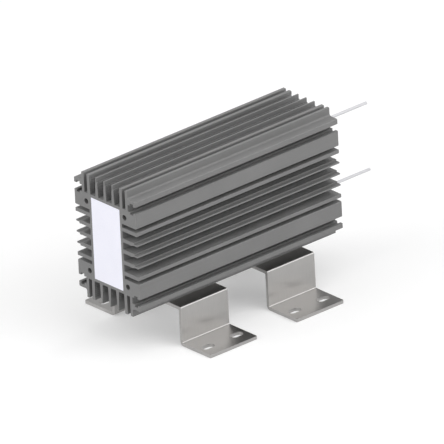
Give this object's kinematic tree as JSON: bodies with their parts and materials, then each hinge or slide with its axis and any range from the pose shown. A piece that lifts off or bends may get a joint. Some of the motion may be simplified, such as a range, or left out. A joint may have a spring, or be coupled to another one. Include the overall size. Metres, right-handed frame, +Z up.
{
  "type": "aluminium housed resistor",
  "caption": "Finned extruded aluminium resistor with a white end board, straight leads at one end and folded mounting brackets underneath.",
  "frame": {"origin": "on the floor under the middle of the housing, in the plane of the feet", "axes": "+X along the housing towards the leads, +Y across it to the left, +Z up"},
  "size_m": [0.3015, 0.165, 0.157],
  "materials": {
    "housing_aluminium": "satin, as extruded, fine lines along the length",
    "end_board": "smooth matt white board",
    "mica": "silvery tan mica board",
    "resistance_alloy": "dull rolled strip",
    "support_ceramic": "unglazed off-white",
    "terminal_brass": "plain",
    "rivet_steel": "plain",
    "conductor_copper": "bright copper",
    "lead_insulation": "smooth matt white sleeve",
    "quartz_sand": "compacted sand",
    "bracket_steel": "brushed stainless sheet",
    "fixing_steel": "plain stainless"
  },
  "bodies": {
    "root": {"extruded_housing": "housing_aluminium", "front_end_board": "end_board", "rear_end_board": "end_board", "front_mica_plate": "mica", "rear_mica_plate": "mica", "left_mica_liner": "mica", "right_mica_liner": "mica", "upper_mica_liner": "mica", "lower_mica_liner": "mica", "left_element_sheet": "mica", "right_element_sheet": "mica", "resistance_grid": "resistance_alloy", "front_element_support": "support_ceramic", "rear_element_support": "support_ceramic", "upper_lead_terminal": "terminal_brass", "lower_lead_terminal": "terminal_brass", "terminal_rivets": "rivet_steel", "upper_lead_conductor": "conductor_copper", "lower_lead_conductor": "conductor_copper", "upper_lead_insulation": "lead_insulation", "lower_lead_insulation": "lead_insulation", "quartz_filling": "quartz_sand", "front_right_bracket": "bracket_steel", "rear_right_bracket": "bracket_steel", "front_left_bracket": "bracket_steel", "rear_left_bracket": "bracket_steel", "bracket_washers": "fixing_steel", "bracket_screws": "fixing_steel"}
  },
  "joints": []
}
